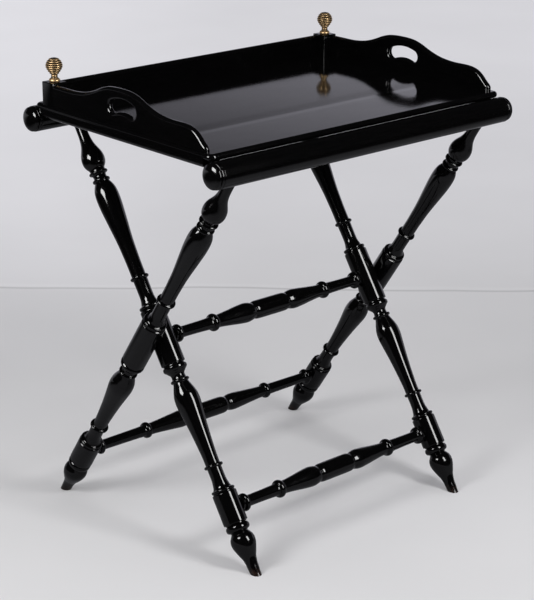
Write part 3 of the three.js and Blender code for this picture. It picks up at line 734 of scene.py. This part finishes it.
def back_gallery():
    front, low = GALLERY_BACK - GALLERY_THICK, SEAT - HOUSING
    crown = GALLERY_TOP - GALLERY_ROUND
    back_middle, front_middle = GALLERY_BACK - GALLERY_ROUND, front + GALLERY_ROUND
    section = [(front, low), (GALLERY_BACK, low), (GALLERY_BACK, crown - SIDE_LIP)]
    section += arc((back_middle, crown), GALLERY_ROUND, 0, math.pi / 2, steps=12)
    section += [(back_middle - EDGE_LIP, GALLERY_TOP), (front_middle + EDGE_LIP, GALLERY_TOP)]
    section += arc((front_middle, crown), GALLERY_ROUND, math.pi / 2, math.pi, steps=12)
    section += [(front, crown - SIDE_LIP)]
    return bar("fine_back_gallery", section, POST_X - POST_WIDE / 2 - BUTT, IN_YZ, lacquer_x)


def corner_post(side_name, side):
    square = rounded_rectangle(POST_WIDE / 2, POST_WIDE / 2, POST_ROUND, steps=4)
    bm = plate([square], POST_HIGH + HOUSING, high_round=POST_TOP_ROUND, steps=3)
    place = (side * POST_X, POST_Y, SEAT - HOUSING)
    return tray_piece(f"fine_corner_post_{side_name}", bm, lacquer_z, place)


def cleat(side_name, side):
    """A batten under an end of the board, with its lower outer edge rounded."""
    inner, outer, low, ease = BOARD_X - CLEAT_WIDE, BOARD_X, CLEAT_LOW, CLEAT_EASE
    eased = 0.3 * ease  # the middle of the eased corner stands in by this
    section = [(inner, low + ease), (inner + eased, low + eased), (inner + ease, low)]
    section += [(outer - CLEAT_ROUND - ease, low)]
    section += arc((outer - CLEAT_ROUND, low + CLEAT_ROUND), CLEAT_ROUND, -math.pi / 2, 0, steps=14)
    section += [(outer, low + CLEAT_ROUND + ease), (outer, low + CLEAT_HIGH), (inner, low + CLEAT_HIGH)]
    section = [(side * x, z) for x, z in section]
    return bar(f"fine_cleat_{side_name}", section, CLEAT_HALF, IN_XZ, lacquer_y)


# Finial: stud, flanged base and neck, (along, radius)
FINIAL_STUD = [(-18, 3.0), (-0.1, 3.0)]
FINIAL_FOOT = [(0.0, 9.4), (0.8, 10.1), (2.5, 10.5), (4.2, 10.1), (5.4, 8.9), (6.4, 7.5), (7.6, 6.5),
               (9.2, 6.1), (10.8, 6.1), (12.2, 6.3), (13.1, 5.4)]
BODY_POWER, RIB_POWER = 1.45, 0.8  # the fullness of the body's lower curve and of a rib
TOP_FLAT = 3.0  # radius of the flat at its top


def finial_radius(height):
    """The body's radius over its ribs: a curve out to the widest rib, part of an ellipse from there."""
    share = height / FINIAL_HIGH
    if share < SWELL_SHARE:
        below = (SWELL_SHARE - share) / (SWELL_SHARE - RIB_START / FINIAL_HIGH)
        return FINIAL_RADIUS * (1 - (1 - START_SHARE) * below ** BODY_POWER)
    above = (share - SWELL_SHARE) / (1 - SWELL_SHARE)
    return FINIAL_RADIUS * math.sqrt(max(1 - (1 - TOP_SHARE ** 2) * above ** 2, 0.0))


def finial_outline():
    points = FINIAL_STUD + smooth_curve(FINIAL_FOOT, step=0.7)
    for rib in range(RIBS):
        for k in range(RIB_STEPS + 1):
            height = RIB_START + RIB_PITCH * (rib + k / RIB_STEPS)
            swell = math.sin(math.pi * k / RIB_STEPS) ** RIB_POWER
            points.append((height, finial_radius(height) - RIB_DEPTH * (1 - swell)))
    return without_repeats(points + [(FINIAL_HIGH, TOP_FLAT)], LEAST_STEP)


def finial(side_name, side):
    place = (side * POST_X, POST_Y, POST_HIGH + 2 * SEAT)
    return tray_piece(f"fine_finial_{side_name}", turned(finial_outline(), FINIAL_ROUND), brass, place,
                      slot="brass", sharp=50.0)


# Screw: a countersunk head and its shank, (along, radius), with a cross recess
SCREW = [(0.0, 4.0), (0.25, 4.2), (0.6, 4.1), (3.0, 2.2), (21.5, 2.2)]
SCREW_SIDES = 32
ARM_REACH, ARM_HALF, RECESS_DEPTH, RECESS_TAPER = 2.6, 0.55, 1.6, 0.8


def cross():
    """The recess's outline, one arm after the other."""
    out = []
    for quarter in range(4):
        c, s = math.cos(quarter * math.pi / 2), math.sin(quarter * math.pi / 2)
        for x, y in ((ARM_REACH, -ARM_HALF), (ARM_REACH, ARM_HALF), (ARM_HALF, ARM_HALF)):
            out.append((x * c - y * s, x * s + y * c))
    return out


def screw_mesh():
    bm = bmesh.new()
    rings = [circle(bm, radius, along, SCREW_SIDES) for along, radius in SCREW]
    for low, high in zip(rings, rings[1:]):
        band(bm, low, high)
    bm.faces.new(rings[-1])
    mouth = [bm.verts.new((x, y, 0)) for x, y in cross()]
    ground = [bm.verts.new((x * RECESS_TAPER, y * RECESS_TAPER, RECESS_DEPTH)) for x, y in cross()]
    flat_faces(bm, rings[0], mouth)
    band(bm, mouth, ground)
    flat_faces(bm, ground)
    return bm


def cleat_screws(side_name, side):
    for i in range(SCREWS_PER_CLEAT):
        y = CLEAT_HALF * ((2 * i + 1) / SCREWS_PER_CLEAT - 1)
        place = (side * (BOARD_X - CLEAT_WIDE / 2), y, CLEAT_LOW)
        degrees = 20 + 37 * i + 11 * side  # each as its driver left it
        tray_piece(f"fine_cleat_screw_{side_name}_{i + 1}", screw_mesh(), steel, place,
                   turn=math.radians(degrees), slot="steel")


board()
back_gallery()
for side_name, side in SIDES:
    side_gallery(side_name, side)
    corner_post(side_name, side)
    cleat(side_name, side)
for side_name, side in SIDES:
    finial(side_name, side)
for side_name, side in SIDES:
    cleat_screws(side_name, side)

# Camera, in metres
YAW, PITCH, ROLL = math.radians(42.13), math.radians(19.60), math.radians(-0.37)
CAMERA_PLACE = (-2.3052, -2.5425, 1.6292)
LENS, SENSOR, FAR_CLIP = 110.03, 36.0, 200.0
HEADING = (math.sin(YAW), math.cos(YAW), 0.0)  # the view's direction along the floor
ACROSS = (math.cos(YAW), -math.sin(YAW), 0.0)  # to its right


def add_camera():
    ahead = Vector((math.sin(YAW) * math.cos(PITCH), math.cos(YAW) * math.cos(PITCH), -math.sin(PITCH)))
    level_right = Vector(ACROSS)
    level_down = -level_right.cross(ahead)
    right = level_right * math.cos(ROLL) + level_down * math.sin(ROLL)
    down = level_down * math.cos(ROLL) - level_right * math.sin(ROLL)
    data = bpy.data.cameras.new("camera")
    data.lens, data.sensor_width, data.clip_end = LENS, SENSOR, FAR_CLIP
    camera = bpy.data.objects.new("camera", data)
    bpy.context.scene.collection.objects.link(camera)
    axes = Matrix((right, -down, -ahead)).transposed()
    camera.matrix_world = Matrix.Translation(CAMERA_PLACE) @ axes.to_4x4()
    bpy.context.scene.camera = camera


# Floor: lengths in metres. A glow is how much the paper shines for the camera, (distance along the view,
# level).
FLOOR_COLOUR, FLOOR_HALF, FLOOR_DROP = (0.70, 0.70 * 0.993, 0.70 * 1.005), 60, 0.0002
GLOW_LEFT = [(-1.0, 0.0), (0.0, 0.0), (0.3, 0.035), (0.6, 0.048), (0.8, 0.085), (1.0, 0.107),
             (1.21, 0.140), (1.24, 0.182), (1.4, 0.202), (1.7, 0.232), (2.1, 0.283), (2.7, 0.308),
             (4.1, 0.375), (5.4, 0.388)]
GLOW_RIGHT = [(-1.0, 0.01), (-0.4, 0.03), (-0.05, 0.062), (0.1, 0.06), (0.3, 0.045), (0.6, 0.042),
              (0.8, 0.06), (1.0, 0.07), (1.2, 0.088), (1.4, 0.12), (1.7, 0.158), (2.1, 0.202),
              (2.7, 0.232), (4.2, 0.303), (5.4, 0.305)]
GLOW_FROM, GLOW_TO, GLOW_COLOUR = -1.0, 6.0, (1.0, 0.995, 1.07)
VIEW_RUN, VIEW_HALF = (0.0, 5.4), (0.55, 1.3)  # half the view's width, near and far
MOTTLE, MOTTLE_SHADE = (2.2, 4.0), (0.985, 1.015)
WANDER, WANDER_REACH = (1.6, 2.0), (-0.02, 0.02)
# Painted shade in a line along the paper's seam, and painted light on a crest just behind it
SEAM_AT, SEAM_HALF, SEAM_PAINTED_SHADE = 1.225, (0.002, 0.011), 0.80
CREST_AT, CREST_HALF, CREST_PAINTED_LIGHT = 0.022, 0.02, 1.035
DARK_ROOM = (0.012, 0.012, 0.013)  # what shiny surfaces see past the lit paper
MIRRORED_FLOOR = (0.24, 0.24, 0.255)
DARK_BESIDE, DARK_BEFORE = (1.2, 2.2), (-2.4, -1.2)  # where the mirrored floor ends in the dark
SHEEN_RUN, SHEEN = (0.5, 3.0), 0.5  # how it brightens behind the object
PAPER_ROUGHNESS, PAPER_GLOSS = 0.9, 0.1


def paper_mottle_and_painted_seam(tree, position, along):
    """Faint mottling, and at the wandering seam where the paper bends a line of painted shade with a painted
    lighter crest behind it.
    """
    mottle = ranged(tree, noise(tree, position, *MOTTLE), NOISE_LOW, NOISE_HIGH, *MOTTLE_SHADE)
    wander = ranged(tree, noise(tree, position, *WANDER), NOISE_LOW, NOISE_HIGH, *WANDER_REACH)
    from_seam = math_node(tree, "SUBTRACT", math_node(tree, "ADD", along, wander), SEAM_AT)
    seam = smooth_step(tree, math_node(tree, "ABSOLUTE", from_seam), *SEAM_HALF, SEAM_PAINTED_SHADE, 1.0)
    crest = smooth_step(tree, distance_from(tree, from_seam, CREST_AT), 0.0, CREST_HALF, CREST_PAINTED_LIGHT, 1.0)
    return math_node(tree, "MULTIPLY", math_node(tree, "MULTIPLY", seam, crest), mottle)


def paper():
    """Pale paper, which glows towards its far part for the camera alone. Mirrored rays see a greyer floor
    that is dark at the sides and in front, and rises in brightness behind."""
    material = bpy.data.materials.new("pale_paper")
    tree, shader = nodes_of(material)
    position = tree.nodes.new("ShaderNodeNewGeometry").outputs["Position"]
    path = tree.nodes.new("ShaderNodeLightPath")
    along, across = dot_with(tree, position, HEADING), dot_with(tree, position, ACROSS)
    # mottling, with painted shade along the seam and painted light on its crest
    shade = paper_mottle_and_painted_seam(tree, position, along)
    tint = tree.nodes.new("ShaderNodeVectorMath")
    tint.operation = "SCALE"
    tint.inputs[0].default_value = FLOOR_COLOUR
    tree.links.new(shade, tint.inputs["Scale"])
    beside = smooth_step(tree, math_node(tree, "ABSOLUTE", across), *DARK_BESIDE)
    before = smooth_step(tree, along, *DARK_BEFORE, 1.0, 0.0)
    mirrored_floor = mix_colour(tree, math_node(tree, "MAXIMUM", beside, before), MIRRORED_FLOOR, DARK_ROOM)
    seen = mix_colour(tree, path.outputs["Is Glossy Ray"], tint.outputs[0], mirrored_floor)
    tree.links.new(seen, shader.inputs["Base Color"])

    half_view = ranged(tree, along, *VIEW_RUN, *VIEW_HALF)
    rightness = smooth_step(tree, math_node(tree, "DIVIDE", across, half_view), -1.0, 0.0)
    glow = mix_colour(tree, rightness, ramp_of(tree, along, GLOW_FROM, GLOW_TO, GLOW_LEFT),
                      ramp_of(tree, along, GLOW_FROM, GLOW_TO, GLOW_RIGHT))
    glow = math_node(tree, "MULTIPLY", glow, path.outputs["Is Camera Ray"])
    sheen = math_node(tree, "MULTIPLY", smooth_step(tree, along, *SHEEN_RUN, 0.0, SHEEN),
                      path.outputs["Is Glossy Ray"])
    light = math_node(tree, "ADD", math_node(tree, "MULTIPLY", glow, shade), sheen)
    shader.inputs["Emission Color"].default_value = (*GLOW_COLOUR, 1)
    tree.links.new(light, shader.inputs["Emission Strength"])
    shader.inputs["Roughness"].default_value = PAPER_ROUGHNESS
    shader.inputs["Specular IOR Level"].default_value = PAPER_GLOSS
    return material


def add_floor():
    bm = bmesh.new()
    corners = [(-1, -1), (1, -1), (1, 1), (-1, 1)]
    bm.faces.new([bm.verts.new((x * FLOOR_HALF, y * FLOOR_HALF, -FLOOR_DROP)) for x, y in corners])
    mesh = bpy.data.meshes.new("floor")
    bm.to_mesh(mesh)
    bm.free()
    floor = bpy.data.objects.new("floor", mesh)
    bpy.context.scene.collection.objects.link(floor)
    mesh.materials.append(paper())


# World: a bright sheet low behind the object, which only shiny surfaces see, in a dark room
SHEET_COLOUR, SHEET_LOW, SHEET_HIGH = (0.68, 0.668, 0.76), 9.5, 17.5  # degrees up, where it fades
SHEET_SPREAD = (0.35, 0.7)  # cosines from the view's heading between which it comes in
RIGHTWARD, BRIGHTNESS = (-0.1, 0.15), (0.7, 1.32)  # it is brighter to the right
AMBIENT, BACKGROUND = (0.5, 0.5, 0.51), (0.70, 0.695, 0.75)  # what lights the pieces, what is shown


def add_world():
    world = bpy.data.worlds.new("world")
    bpy.context.scene.world = world
    world.use_nodes = True
    tree = world.node_tree
    tree.nodes.clear()
    out = tree.nodes.new("ShaderNodeOutputWorld")
    backdrop = tree.nodes.new("ShaderNodeBackground")
    tree.links.new(backdrop.outputs[0], out.inputs[0])
    direction = tree.nodes.new("ShaderNodeTexCoord").outputs["Generated"]
    path = tree.nodes.new("ShaderNodeLightPath")
    height = dot_with(tree, direction, (0.0, 0.0, 1.0))
    low, high = (math.sin(math.radians(degrees)) for degrees in (SHEET_LOW, SHEET_HIGH))
    ahead = smooth_step(tree, dot_with(tree, direction, HEADING), *SHEET_SPREAD)
    sheet = math_node(tree, "MULTIPLY", ahead, smooth_step(tree, height, low, high, 1.0, 0.0))
    brightness = ranged(tree, dot_with(tree, direction, ACROSS), *RIGHTWARD, *BRIGHTNESS)
    room = mix_colour(tree, math_node(tree, "MULTIPLY", sheet, brightness), DARK_ROOM, SHEET_COLOUR)
    lit = mix_colour(tree, path.outputs["Is Glossy Ray"], AMBIENT, room)
    shown = mix_colour(tree, path.outputs["Is Camera Ray"], lit, BACKGROUND)
    tree.links.new(shown, backdrop.inputs["Color"])
    backdrop.inputs["Strength"].default_value = 1.0


# Lamps, (name, place, width, height, watts, whether it shows in what is glossy). A lamp either lights
# things or shows in what is glossy, so that shadows and highlights each have their size in the photograph.
LAMPS = [
    ("softbox_left", (-1.65, 0.05, 1.41), 0.66, 0.66, 15.7, False),
    ("softbox_front", (0.31, -1.72, 1.74), 0.55, 0.55, 19.5, False),
    ("highlight_left", (-1.50, 0.05, 1.36), 0.7, 0.55, 24, True),
    ("highlight_front", (0.22, -1.55, 1.40), 0.5, 1.2, 32, True),
]
LAMP_AIM = (0, 0, 0.5)


def add_lamp(name, place, width, height, watts, shown):
    lamp = bpy.data.lights.new(name, "AREA")
    lamp.shape = "RECTANGLE"
    lamp.size, lamp.size_y = width, height
    lamp.energy = watts
    obj = bpy.data.objects.new(name, lamp)
    bpy.context.scene.collection.objects.link(obj)
    turn = (Vector(place) - Vector(LAMP_AIM)).to_track_quat("Z", "Y").to_matrix().to_4x4()
    obj.matrix_world = Matrix.Translation(place) @ turn
    obj.visible_glossy = shown
    obj.visible_diffuse = not shown


add_camera()
add_floor()
add_world()
for lamp in LAMPS:
    add_lamp(*lamp)

bpy.context.scene.view_settings.view_transform = "Standard"
